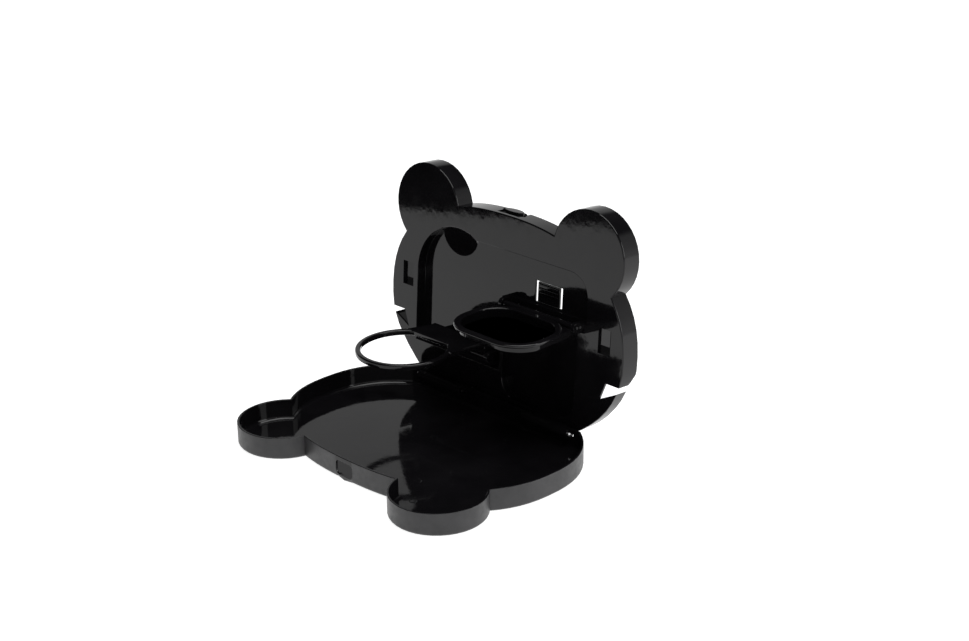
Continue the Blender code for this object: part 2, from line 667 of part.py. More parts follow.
def build_ring(material, pin_material, parent):
    """A ring on a flat web, with a riser down to a barrel on the hinge axis."""
    left = RING_HUB_LEFT
    right = RING_HUB_RIGHT
    low = RING_RISE - RING_HEIGHT / 2
    high = RING_RISE + RING_HEIGHT / 2
    back = RING_REACH + RING_RISER / 2
    ring = slab("cup_ring", [arc(0.0, 0.0, RING_OUTER, 0, 360 - 360 / RING_STEPS, RING_STEPS - 1)], low, high)
    tangent_left = arc(0.0, 0.0, RING_OUTER, 135, 135, 1)[0]
    tangent_right = arc(0.0, 0.0, RING_OUTER, 25, 25, 1)[0]
    inner_left = (tangent_left[0] * 0.6, tangent_left[1] * 0.6)
    inner_right = (tangent_right[0] * 0.6, tangent_right[1] * 0.6)
    past_lug = RING_REACH - RING_LUG_RADIUS - 2 * RUN_GAP
    web = [inner_right, tangent_right, (right, back), (left, back), (left, past_lug), tangent_left, inner_left]
    add(ring, slab("ring_web", [web], low, high))
    hole_radius = RING_OUTER - RING_BAR
    side = math.degrees(math.asin(RING_WEB_CHORD / hole_radius))
    hole = arc(0.0, 0.0, hole_radius, 180 - side, 360 + side, RING_STEPS)
    cut(ring, slab("ring_hole", [hole], low - THROUGH, high + THROUGH))
    axis_y = RING_REACH
    add(ring, box("ring_riser", (left, axis_y - RING_RISER / 2, 0.0), (right, axis_y + RING_RISER / 2, low + OVERLAP)))
    add(ring, rod("ring_barrel", (left, axis_y, 0.0), (right, axis_y, 0.0), RING_BARREL_RADIUS))
    cut(ring, bore("ring_bore", (left - THROUGH, axis_y, 0.0), (right + THROUGH, axis_y, 0.0),
                   RING_PIN_RADIUS))
    place = SHELL_FRAME @ Vector((RING_CENTRE_U, RING_AXIS_V, RING_AXIS_FRONT))
    empty = pivot("ring_axis", Matrix.Translation(place))
    hang(finish(ring, material), empty, (0.0, RING_REACH, 0.0))
    start, end = ring_pin_span()
    pin = rod("cup_ring_pin", (start, RING_AXIS_V, RING_AXIS_FRONT), (end, RING_AXIS_V, RING_AXIS_FRONT),
              RING_PIN_RADIUS)
    hang(finish(pin, pin_material), parent)


# --- Square holder --------------------------------------------------------------------------
def square_lug_spans():
    """Where the shell's two lugs for the square holder lie, at the recess's sides."""
    outer = RECESS_HALF_WIDTH + SQUARE_LUG_SEAT
    inner = outer - SQUARE_LUG_WIDTH
    return (
        ("left", RECESS_CENTRE_U - outer, RECESS_CENTRE_U - inner),
        ("right", RECESS_CENTRE_U + inner, RECESS_CENTRE_U + outer),
    )


def square_body_half_width():
    """Half the width of the square holder's body, which turns between the lugs."""
    return RECESS_HALF_WIDTH + SQUARE_LUG_SEAT - SQUARE_LUG_WIDTH - RUN_GAP


def square_pin_spans():
    """Ends of the two short pins."""
    inner = square_body_half_width() - SQUARE_PIN_DEPTH
    outer = RECESS_HALF_WIDTH + SQUARE_LUG_SEAT
    return (
        ("left", RECESS_CENTRE_U - outer, RECESS_CENTRE_U - inner),
        ("right", RECESS_CENTRE_U + inner, RECESS_CENTRE_U + outer),
    )


def build_square_holder(material, pin_material, parent):
    """A rounded square collar: a lip over a body whose back edge carries the barrel."""
    lip_half = RECESS_HALF_WIDTH + SQUARE_LIP_OVERHANG
    body_half = square_body_half_width()
    inset = SQUARE_LIP_OVERHANG + SQUARE_SIDE_FIT
    top = SQUARE_LIP_HEIGHT / 2
    middle = -SQUARE_LIP_HEIGHT / 2
    bottom = middle - SQUARE_BODY_HEIGHT
    back = -SQUARE_BACK_GAP
    front = back - SQUARE_LENGTH
    lip = rounded_box(-lip_half, lip_half, front, back, SQUARE_CORNER, SQUARE_CORNER)
    holder = slab("square_holder", [lip], middle, top)
    wide = lip_half - inset
    body = rounded_box(-wide, wide, front + inset, -SQUARE_NECK, SQUARE_CORNER - inset, 0)
    add(holder, slab("square_body", [body], bottom, middle + OVERLAP))
    neck = rounded_box(-body_half, body_half, -SQUARE_NECK - OVERLAP, -RUN_GAP, 0, 0)
    add(holder, slab("square_neck", [neck], bottom, middle + OVERLAP / 2))
    width = inset + SQUARE_WALL
    corner = SQUARE_CORNER - width
    opening = rounded_box(-lip_half + width, lip_half - width, front + width, back - width, corner, corner)
    cut(holder, slab("square_opening", [opening], bottom - THROUGH, top + THROUGH))
    add(holder, rod("square_barrel", (-body_half, 0.0, 0.0), (body_half, 0.0, 0.0), SQUARE_BARREL_RADIUS))
    inner = body_half - SQUARE_PIN_DEPTH - RUN_GAP
    outer = body_half + THROUGH
    cut(holder, bore("square_bore_left", (-outer, 0.0, 0.0), (-inner, 0.0, 0.0), SQUARE_PIN_RADIUS))
    cut(holder, bore("square_bore_right", (inner, 0.0, 0.0), (outer, 0.0, 0.0), SQUARE_PIN_RADIUS))
    place = SHELL_FRAME @ Vector((RECESS_CENTRE_U, SQUARE_AXIS_V, SQUARE_AXIS_FRONT))
    hang(finish(holder, material), pivot("square_axis", Matrix.Translation(place)))
    for name, start, end in square_pin_spans():
        pin = rod("square_holder_pin_" + name, (start, SQUARE_AXIS_V, SQUARE_AXIS_FRONT),
                  (end, SQUARE_AXIS_V, SQUARE_AXIS_FRONT), SQUARE_PIN_RADIUS)
        hang(finish(pin, pin_material), parent)


# --- Snap tongue ----------------------------------------------------------------------------
def build_tongue(material):
    """The springy tab in the pocket floor, with grip ribs, turning at its lower edge."""
    mid_depth = -POCKET_DEPTH - WALL / 2
    tongue = box("snap_tongue",
                 (-TONGUE_HALF_WIDTH, RUN_GAP, -WALL / 2),
                 (TONGUE_HALF_WIDTH, TONGUE_LENGTH, WALL / 2))
    for index in range(TONGUE_RIBS):
        top = TONGUE_LENGTH - TONGUE_RIB_SIZE - index * TONGUE_RIB_PITCH
        add(tongue, box("tongue_rib_%d" % (index + 1),
                        (-TONGUE_HALF_WIDTH + TONGUE_RIB_SIZE, top - TONGUE_RIB_SIZE, -WALL / 4),
                        (TONGUE_HALF_WIDTH - TONGUE_RIB_SIZE, top, WALL / 2 + TONGUE_RIB_SIZE)))
    place = SHELL_FRAME @ Matrix.Translation((RECESS_CENTRE_U, TONGUE_BOTTOM, mid_depth))
    hang(finish(tongue, material), pivot("tongue_axis", place))


# --- Top latch ------------------------------------------------------------------------------
def latch_pin_span():
    """Ends of the latch pin."""
    reach = LATCH_HALF_WIDTH + LATCH_BOSS_WIDTH
    return -reach, reach


def build_latch(material, pin_material, parent):
    """A swinging hook, drawn hanging inside the shell; it turns back, up and over the forehead."""
    arm_front = LATCH_AXIS_BELOW_TOP + LATCH_ARM_CLEARANCE
    arm_far = arm_front + LATCH_ARM_THICKNESS
    hole_middle = (LATCH_HOLE_LOW + LATCH_HOLE_HIGH) / 2
    claw_reach = LATCH_AXIS_DEPTH + SHUT_GAP + TRAY_HEIGHT - hole_middle
    claw_half = LATCH_CLAW_THICKNESS / 2
    claw_tip = LATCH_AXIS_BELOW_TOP - WALL - LATCH_CLAW_ENTRY
    latch = rod("top_latch", (-LATCH_HALF_WIDTH, 0.0, 0.0), (LATCH_HALF_WIDTH, 0.0, 0.0), LATCH_BARREL_RADIUS)
    add(latch, box("latch_arm", (-LATCH_ARM_HALF_WIDTH, -claw_reach - claw_half, arm_front),
                   (LATCH_ARM_HALF_WIDTH, OVERLAP, arm_far)))
    add(latch, box("latch_claw",
                   (-LATCH_CLAW_HALF_WIDTH, -claw_reach - claw_half + PIN_FIT, claw_tip),
                   (LATCH_CLAW_HALF_WIDTH, -claw_reach + claw_half, arm_front + OVERLAP)))
    circle = arc(0.0, 0.0, 1.0, 0, 360 - 360 / ROUND_STEPS, ROUND_STEPS - 1)
    oval = [(LATCH_PAD_HALF_LENGTH * x, LATCH_PAD_HALF_DEPTH * y) for x, y in circle]
    pad = slab("latch_pad", [oval], -LATCH_AXIS_BELOW_TOP - LATCH_PAD_RISE, -LATCH_BARREL_RADIUS / 2)
    pad.data.transform(Matrix.Rotation(math.pi / 2, 4, "X"))
    add(latch, pad)
    reach = LATCH_HALF_WIDTH + THROUGH
    cut(latch, bore("latch_bore", (-reach, 0.0, 0.0), (reach, 0.0, 0.0), LATCH_PIN_RADIUS))
    axis_v = FOREHEAD_V - LATCH_AXIS_BELOW_TOP
    place = SHELL_FRAME @ Matrix.Translation((0.0, axis_v, -LATCH_AXIS_DEPTH))
    hang(finish(latch, material), pivot("latch_axis", place))
    left, right = latch_pin_span()
    pin = rod("top_latch_pin", (left, axis_v, -LATCH_AXIS_DEPTH), (right, axis_v, -LATCH_AXIS_DEPTH),
              LATCH_PIN_RADIUS)
    hang(finish(pin, pin_material), parent)


def build_strap_bars(material, parent):
    """A bar across each strap window."""
    reach = STRAP_HEIGHT / 2 + STRAP_BAR_SEAT
    depth = -STRAP_BOX_DEPTH / 2 - OVERLAP
    for side, name in ((-1, "left"), (1, "right")):
        middle = side * STRAP_CENTRE_U
        bar = rod("strap_bar_" + name, (middle, STRAP_CENTRE_V - reach, depth),
                  (middle, STRAP_CENTRE_V + reach, depth), STRAP_BAR_RADIUS)
        hang(finish(bar, material), parent)


def main():
    """Build every piece."""
    black = (0.010, 0.010, 0.011)
    gloss = plastic("gloss_black_plastic", black, 0.12)
    tray_gloss = plastic("tray_black_plastic", black, 0.16)
    steel = plastic("pin_steel", (0.55, 0.55, 0.56), 0.30, 1.0)
    build_shell(gloss)
    parent = bpy.data.objects["shell_plane"]
    build_tray(tray_gloss)
    build_hinge_pins(steel, parent)
    build_ring(plastic("ring_black_plastic", black, 0.10), steel, parent)
    build_square_holder(plastic("holder_black_plastic", black, 0.10), steel, parent)
    build_tongue(plastic("tongue_black_plastic", black, 0.20))
    build_latch(plastic("latch_black_plastic", black, 0.20), steel, parent)
    build_strap_bars(plastic("strap_bar_black_plastic", black, 0.30), parent)


main()
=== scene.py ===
"""Looks for a folding seat-back tray: glossy black mouldings, steel pins and a plain white studio."""

import json
import logging
import math
from dataclasses import dataclass, field
from enum import Enum
from typing import Callable

import bmesh
import bpy
from mathutils import Matrix, Vector

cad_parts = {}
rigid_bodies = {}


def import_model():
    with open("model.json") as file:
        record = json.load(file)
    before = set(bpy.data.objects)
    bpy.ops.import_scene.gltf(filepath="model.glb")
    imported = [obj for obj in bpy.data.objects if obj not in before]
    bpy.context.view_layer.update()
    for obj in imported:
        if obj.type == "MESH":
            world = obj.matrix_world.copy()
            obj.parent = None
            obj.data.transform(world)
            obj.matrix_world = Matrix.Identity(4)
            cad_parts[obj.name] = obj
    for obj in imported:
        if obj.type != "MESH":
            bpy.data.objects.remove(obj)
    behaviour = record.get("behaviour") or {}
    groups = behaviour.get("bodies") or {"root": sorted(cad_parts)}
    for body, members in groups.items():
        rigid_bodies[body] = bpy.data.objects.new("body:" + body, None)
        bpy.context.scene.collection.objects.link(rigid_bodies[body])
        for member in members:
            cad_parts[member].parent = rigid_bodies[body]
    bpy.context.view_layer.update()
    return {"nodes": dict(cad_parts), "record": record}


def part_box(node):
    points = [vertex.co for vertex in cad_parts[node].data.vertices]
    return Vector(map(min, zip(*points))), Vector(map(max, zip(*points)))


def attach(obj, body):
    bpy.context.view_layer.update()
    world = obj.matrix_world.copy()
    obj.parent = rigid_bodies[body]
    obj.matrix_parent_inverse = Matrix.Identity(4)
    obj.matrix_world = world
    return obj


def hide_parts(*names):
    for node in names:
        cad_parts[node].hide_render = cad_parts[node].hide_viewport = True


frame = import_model()
LOG = logging.getLogger("seat_back_tray")


class Body(Enum):
    """The moving bodies of the tray, by their names in the record."""

    SHELL = "shell"
    TRAY = "tray"
    RING = "ring"
    HOLDER = "holder"
    TONGUE = "tongue"
    LATCH = "latch"


class Slot(Enum):
    """The record's material slots."""

    SHELL = "shell_plastic"
    TRAY = "tray_plastic"
    RING = "ring_plastic"
    HOLDER = "holder_plastic"
    LATCH = "latch_plastic"
    STRAP_BAR = "strap_bar_plastic"
    STEEL = "pin_steel"


def joint_of(child: Body) -> dict:
    """The record's joint that carries a body.

    Args:
        child: The body that the joint moves.

    Returns:
        The joint's entry in the record.
    """
    return next(j for j in frame["record"]["behaviour"]["joints"] if j["child"] == child.value)


# --- Finishes -------------------------------------------------------------------------------
def node_tree(
    name: str,
) -> tuple[bpy.types.Material, bpy.types.NodeTree, bpy.types.Node, bpy.types.NodeSocket]:
    """Start a material.

    Args:
        name: The material's name.

    Returns:
        The material, its node tree, its shader and the object coordinates of the piece.
    """
    material = bpy.data.materials.new(name)
    material.use_nodes = True
    tree = material.node_tree
    shader = tree.nodes["Principled BSDF"]
    place = tree.nodes.new("ShaderNodeTexCoord")
    return material, tree, shader, place.outputs["Object"]


def noise(tree: bpy.types.NodeTree, place: bpy.types.NodeSocket, scale: float, detail: float,
          stretch: tuple[float, float, float] = (1.0, 1.0, 1.0)) -> bpy.types.NodeSocket:
    """Add a noise pattern.

    Args:
        tree: The node tree.
        place: The coordinates that the pattern follows.
        scale: Features per metre.
        detail: Octaves of finer noise.
        stretch: Scale along each axis.

    Returns:
        The pattern's value, about 0.5 on average.
    """
    mapping = tree.nodes.new("ShaderNodeMapping")
    mapping.inputs["Scale"].default_value = stretch
    pattern = tree.nodes.new("ShaderNodeTexNoise")
    pattern.inputs["Scale"].default_value = scale
    pattern.inputs["Detail"].default_value = detail
    tree.links.new(place, mapping.inputs["Vector"])
    tree.links.new(mapping.outputs["Vector"], pattern.inputs["Vector"])
    return pattern.outputs["Fac"]


def spread(tree: bpy.types.NodeTree, value: bpy.types.NodeSocket, low: float,
           high: float) -> bpy.types.NodeSocket:
    """Map a noise value to a range.

    Args:
        tree: The node tree.
        value: The noise value.
        low: Result where the noise is low.
        high: Result where the noise is high.

    Returns:
        The mapped value.
    """
    node = tree.nodes.new("ShaderNodeMapRange")
    node.inputs["From Min"].default_value = 0.3
    node.inputs["From Max"].default_value = 0.7
    node.inputs["To Min"].default_value = low
    node.inputs["To Max"].default_value = high
    tree.links.new(value, node.inputs["Value"])
    return node.outputs["Result"]


def two_tones(tree: bpy.types.NodeTree, value: bpy.types.NodeSocket, dark: tuple[float, float, float],
              light: tuple[float, float, float]) -> bpy.types.NodeSocket:
    """Blend two colours by a noise value.

    Args:
        tree: The node tree.
        value: The noise value.
        dark: Colour where the noise is low.
        light: Colour where the noise is high.

    Returns:
        The colour.
    """
    ramp = tree.nodes.new("ShaderNodeValToRGB")
    ramp.color_ramp.elements[0].position = 0.35
    ramp.color_ramp.elements[0].color = (*dark, 1.0)
    ramp.color_ramp.elements[1].position = 0.65
    ramp.color_ramp.elements[1].color = (*light, 1.0)
    tree.links.new(value, ramp.inputs["Fac"])
    return ramp.outputs["Color"]


def bumped(tree: bpy.types.NodeTree, height: bpy.types.NodeSocket, depth: float,
           below: bpy.types.NodeSocket | None = None) -> bpy.types.NodeSocket:
    """Turn a height into a surface normal.

    Args:
        tree: The node tree.
        height: The height, from 0 to 1.
        depth: Metres from the lowest to the highest point.
        below: A normal that this one adds to.

    Returns:
        The normal.
    """
    node = tree.nodes.new("ShaderNodeBump")
    node.inputs["Strength"].default_value = 1.0
    node.inputs["Distance"].default_value = depth
    tree.links.new(height, node.inputs["Height"])
    if below is not None:
        tree.links.new(below, node.inputs["Normal"])
    return node.outputs["Normal"]


@dataclass(frozen=True)
class PolishedPlastic:
    """Polished black plastic with the faint ripple and haze of a moulded face."""

    name: str
    dark: tuple[float, float, float] = (0.0028, 0.0026, 0.0031)
    light: tuple[float, float, float] = (0.0048, 0.0045, 0.0052)
    gloss: float = 0.035
    haze: float = 0.085
    index: float = 1.36
    ripple_scale: float = 95.0
    ripple_depth: float = 0.000045
    grain_scale: float = 900.0
    grain_depth: float = 0.0000015

    def material(self) -> bpy.types.Material:
        """Build the material.

        Returns:
            The material.
        """
        material, tree, shader, place = node_tree(self.name)
        shader.inputs["IOR"].default_value = self.index
        patches = noise(tree, place, 24.0, 4.0)
        tree.links.new(two_tones(tree, patches, self.dark, self.light), shader.inputs["Base Color"])
        haze = noise(tree, place, 140.0, 6.0)
        tree.links.new(spread(tree, haze, self.gloss, self.haze), shader.inputs["Roughness"])
        ripple = bumped(tree, noise(tree, place, self.ripple_scale, 2.0), self.ripple_depth)
        grain = bumped(tree, noise(tree, place, self.grain_scale, 2.0), self.grain_depth, ripple)
        tree.links.new(grain, shader.inputs["Normal"])
        return material


@dataclass(frozen=True)
class GrainedPlastic:
    """Black plastic from a finely grained mould, rubbed a little lighter in patches."""

    name: str
    dark: tuple[float, float, float] = (0.010, 0.010, 0.011)
    light: tuple[float, float, float] = (0.018, 0.0175, 0.019)
    low: float = 0.36
    high: float = 0.50
    index: float = 1.50
    grain_scale: float = 1500.0
    grain_depth: float = 0.00005

    def material(self) -> bpy.types.Material:
        """Build the material.

        Returns:
            The material.
        """
        material, tree, shader, place = node_tree(self.name)
        shader.inputs["IOR"].default_value = self.index
        patches = noise(tree, place, 60.0, 5.0)
        tree.links.new(two_tones(tree, patches, self.dark, self.light), shader.inputs["Base Color"])
        wear = noise(tree, place, 220.0, 4.0)
        tree.links.new(spread(tree, wear, self.low, self.high), shader.inputs["Roughness"])
        normal = bumped(tree, noise(tree, place, self.grain_scale, 3.0), self.grain_depth)
        tree.links.new(normal, shader.inputs["Normal"])
        return material


@dataclass(frozen=True)
class DrawnSteel:
    """Bright steel wire with fine lines along its length."""

    name: str
    dark: tuple[float, float, float] = (0.42, 0.42, 0.43)
    light: tuple[float, float, float] = (0.62, 0.62, 0.63)
    low: float = 0.18
    high: float = 0.34
    line_stretch: tuple[float, float, float] = (0.05, 1.0, 1.0)

    def material(self) -> bpy.types.Material:
        """Build the material.

        Returns:
            The material.
        """
        material, tree, shader, place = node_tree(self.name)
        shader.inputs["Metallic"].default_value = 1.0
        lines = noise(tree, place, 2200.0, 3.0, self.line_stretch)
        tree.links.new(two_tones(tree, lines, self.dark, self.light), shader.inputs["Base Color"])
        tree.links.new(spread(tree, lines, self.low, self.high), shader.inputs["Roughness"])
        tree.links.new(bumped(tree, lines, 0.00001), shader.inputs["Normal"])
        return material


# --- Modelling ------------------------------------------------------------------------------
@dataclass(frozen=True)
class Crease:
    """What a rounding rule may ask about an edge: its middle, its two faces and how it bends."""

    middle: Vector
    direction: Vector
    first: Vector
    second: Vector
    convex: bool
    angle: float

    def faces(self, way: Vector, reach: float = 0.999) -> bool:
        """Whether one of the two faces looks the given way."""
        return self.first.dot(way) > reach or self.second.dot(way) > reach


@dataclass(frozen=True)
class Rounding:
    """A radius given to the edges that a rule picks."""

    radius: float
    steps: int
    picks: Callable[[Crease], bool]


SHARP = math.radians(28.0)     # only edges that bend more than this are rounded
SMOOTH = 32.0                  # degrees; edges that bend less are shaded smooth
FLUSH = 0.0001                 # how near two heights or depths count as level
SIDE_ROOM = 1.05               # a side edge's least length, in radii of the rounding beside it


def deselect() -> None:
    """Leave nothing selected."""
    bpy.ops.object.select_all(action="DESELECT")


def pick_only(piece: bpy.types.Object) -> None:
    """Select one piece and make it active."""
    deselect()
    piece.select_set(True)
    bpy.context.view_layer.objects.active = piece


def apply_modifiers(piece: bpy.types.Object) -> None:
    """Apply every modifier of a piece in order."""
    pick_only(piece)
    for modifier in list(piece.modifiers):
        bpy.ops.object.modifier_apply(modifier=modifier.name)


def bring_home(piece: bpy.types.Object) -> None:
    """Put a piece's place into its mesh, so that its object sits at the origin."""
    pick_only(piece)
    bpy.ops.object.transform_apply(location=True, rotation=True, scale=True)


def smooth_by_angle(piece: bpy.types.Object, degrees: float) -> None:
    """Shade a piece smoothly, keep edges above an angle sharp and let its large flat faces stay flat.

    Args:
        piece: The piece.
        degrees: The angle.
    """
    pick_only(piece)
    bpy.ops.object.shade_smooth_by_angle(angle=math.radians(degrees))
    bpy.ops.object.modifier_add(type="WEIGHTED_NORMAL")
    weighting = piece.modifiers[-1]
    weighting.weight = 100
    weighting.keep_sharp = True
    apply_modifiers(piece)


def crease_of(edge: bmesh.types.BMEdge) -> Crease:
    """Describe an edge for a rounding rule.

    Args:
        edge: An edge between two faces.

    Returns:
        Its description.
    """
    first, second = edge.link_faces
    ends = edge.verts
    return Crease(
        middle=(ends[0].co + ends[1].co) / 2,
        direction=(ends[1].co - ends[0].co).normalized(),
        first=first.normal.copy(),
        second=second.normal.copy(),
        convex=edge.is_convex,
        angle=edge.calc_face_angle(0.0),
    )


def round_edges(piece: bpy.types.Object, rounding: Rounding) -> int:
    """Bevel the edges that a rule picks, leaving out those beside an edge shorter than the radius.

    Args:
        piece: The piece.
        rounding: The radius, steps and rule.

    Returns:
        How many edges were rounded.
    """
    pick_only(piece)
    bpy.ops.object.mode_set(mode="EDIT")
    bpy.ops.mesh.select_mode(type="EDGE")
    bpy.ops.mesh.select_all(action="DESELECT")
    work = bmesh.from_edit_mesh(piece.data)
    work.normal_update()
    chosen = set()
    for edge in work.edges:
        if len(edge.link_faces) == 2 and edge.calc_face_angle(0.0) > SHARP:
            if rounding.picks(crease_of(edge)):
                chosen.add(edge)
    kept = []
    for edge in chosen:
        side_edges = [e for v in edge.verts for e in v.link_edges if e not in chosen]
        if all(e.calc_length() > rounding.radius * SIDE_ROOM for e in side_edges):
            kept.append(edge)
    for edge in kept:
        edge.select_set(True)
    bmesh.update_edit_mesh(piece.data)
    if kept:
        bpy.ops.mesh.bevel(offset=rounding.radius, offset_type="OFFSET", segments=rounding.steps,
                           profile=0.5, affect="EDGES", clamp_overlap=False, loop_slide=True,
                           miter_outer="SHARP")
    bpy.ops.object.mode_set(mode="OBJECT")
    return len(kept)


def copy_of_node(node: str, name: str) -> bpy.types.Object:
    """Copy a CAD node as a clean mesh: doubles merged, and flat faces made whole.

    Args:
        node: The CAD node.
        name: The new piece's name.

    Returns:
        The copy, with no parent.
    """
    pick_only(frame["nodes"][node])
    bpy.ops.object.duplicate()
    piece = bpy.context.view_layer.objects.active
    bpy.ops.object.parent_clear(type="CLEAR_KEEP_TRANSFORM")
    piece.name = name
    piece.data.name = name
    bpy.ops.mesh.customdata_custom_splitnormals_clear()
    bpy.ops.object.mode_set(mode="EDIT")
    bpy.ops.mesh.select_all(action="SELECT")
    bpy.ops.mesh.remove_doubles(threshold=0.000002)
    bpy.ops.mesh.dissolve_limited(angle_limit=math.radians(0.6))
    bpy.ops.mesh.select_all(action="DESELECT")
    bpy.ops.object.mode_set(mode="OBJECT")
    return piece


def dress(piece: bpy.types.Object, *materials: bpy.types.Material) -> None:
    """Give a piece its materials in slot order.

    Args:
        piece: The piece.
        materials: The materials.
    """
    piece.data.materials.clear()
    for material in materials:
        piece.data.materials.append(material)


def hand_over(piece: bpy.types.Object, body: Body, slot: Slot, *nodes: str) -> bpy.types.Object:
    """Tie a finished piece to its body and hide the CAD nodes it stands for.

    Args:
        piece: The finished piece.
        body: The body it moves with.
        slot: The record's material slot; not used.
        nodes: CAD nodes that it replaces.

    Returns:
        The piece.
    """
    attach(piece, body.value)
    if nodes:
        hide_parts(*nodes)
    LOG.info("%s rides on %s with %d faces", piece.name, body.value, len(piece.data.polygons))
    return piece


# --- Back shell -----------------------------------------------------------------------------
@dataclass
class ShellPlane:
    """The leaning plane of the shell's face, placed from the tray hinge."""

    hinge_v: float = 0.0209
    hinge_front: float = 0.0064
    lean: float = field(init=False)
    pivot: Vector = field(init=False)

    def __post_init__(self) -> None:
        """Read the lean and the hinge's place from the record."""
        joint = joint_of(Body.TRAY)
        self.lean = math.radians(joint["range_deg"][1] - 90.0)
        self.pivot = Vector(joint["pos_m"])

    @property
    def out(self) -> Vector:
        """The way that the face looks."""
        return Vector((0.0, -math.cos(self.lean), math.sin(self.lean)))

    @property
    def up(self) -> Vector:
        """The way up the face."""
        return Vector((0.0, math.sin(self.lean), math.cos(self.lean)))

    def point(self, u: float, v: float, depth: float = 0.0) -> Vector:
        """A point in the world from its place across, up and behind the face."""
        start = Vector((u, self.pivot.y, self.pivot.z))
        return start + self.up * (v - self.hinge_v) - self.out * (depth + self.hinge_front)

    def depth(self, point: Vector) -> float:
        """How far a point lies behind the face."""
        return -(point - self.point(0.0, 0.0)).dot(self.out)

    def height(self, point: Vector) -> float:
        """How far up the face a point lies."""
        return (point - self.point(0.0, 0.0)).dot(self.up)


@dataclass
class BackShell:
    """The upright moulding, with its edges rounded as the mould leaves them."""

    plane: ShellPlane
    finish: PolishedPlastic
    rim_radius: float = 0.0011
    edge_radius: float = 0.00035
    pocket_radius: float = 0.0006
    foot_radius: float = 0.0003
    pocket_left: float = -0.1075
    pocket_right: float = 0.0990
    pocket_low: float = 0.0270
    pocket_high: float = 0.1605
    floor_near: float = 0.0040
    floor_far: float = 0.0100
    window_left: float = 0.1090
    window_right: float = 0.1285
    window_low: float = 0.0960
    window_high: float = 0.1220
    rim_low: float = 0.0300
    claw_side: float = 0.1130
    claw_low: float = 0.0540
    claw_high: float = 0.0790

    def on_claw(self, crease: Crease) -> bool:
        """Whether an edge belongs to a bag hook's notch, whose sharp claw leaves no room for rounding."""
        v = self.plane.height(crease.middle)
        return abs(crease.middle.x) > self.claw_side and self.claw_low < v < self.claw_high

    def in_window(self, crease: Crease) -> bool:
        """Whether an edge belongs to a strap window."""
        inside_sides = self.window_left < abs(crease.middle.x) < self.window_right
        return inside_sides and self.window_low < self.plane.height(crease.middle) < self.window_high

    def on_front_rim(self, crease: Crease) -> bool:
        """Whether an edge runs round the front of the head, outside the pockets and windows."""
        if abs(self.plane.depth(crease.middle)) > FLUSH or not crease.faces(self.plane.out):
            return False
        if not crease.convex or self.on_claw(crease):
            return False
        u, v = crease.middle.x, self.plane.height(crease.middle)
        in_pocket = self.pocket_left < u < self.pocket_right and self.pocket_low < v < self.pocket_high
        return not in_pocket and not self.in_window(crease) and v > self.rim_low

    def on_pocket_edge(self, crease: Crease) -> bool:
        """Whether an edge of the front face runs round a pocket."""
        face_edge = abs(self.plane.depth(crease.middle)) < FLUSH and crease.faces(self.plane.out)
        return face_edge and self.on_other_edge(crease)

    def on_other_edge(self, crease: Crease) -> bool:
        """Whether an outer edge lies clear of the hinge knuckles, the hooks and the windows."""
        clear = self.plane.height(crease.middle) > self.rim_low
        return crease.convex and clear and not self.on_claw(crease) and not self.in_window(crease)

    def on_foot(self, crease: Crease) -> bool:
        """Whether an edge runs round the floor of a pocket."""
        deep = self.floor_near < self.plane.depth(crease.middle) < self.floor_far
        return not crease.convex and deep and crease.faces(self.plane.out)

    def build(self) -> bpy.types.Object:
        """Model and dress the shell.

        Returns:
            The shell.
        """
        piece = copy_of_node("back_shell", "shell_moulding")
        for rounding in (
            Rounding(self.rim_radius, 4, self.on_front_rim),
            Rounding(self.pocket_radius, 3, self.on_pocket_edge),
            Rounding(self.foot_radius, 2, self.on_foot),
            Rounding(self.edge_radius, 2, self.on_other_edge),
        ):
            LOG.info("shell edges rounded: %d", round_edges(piece, rounding))
        smooth_by_angle(piece, SMOOTH)
        dress(piece, self.finish.material())
        return hand_over(piece, Body.SHELL, Slot.SHELL, "back_shell")


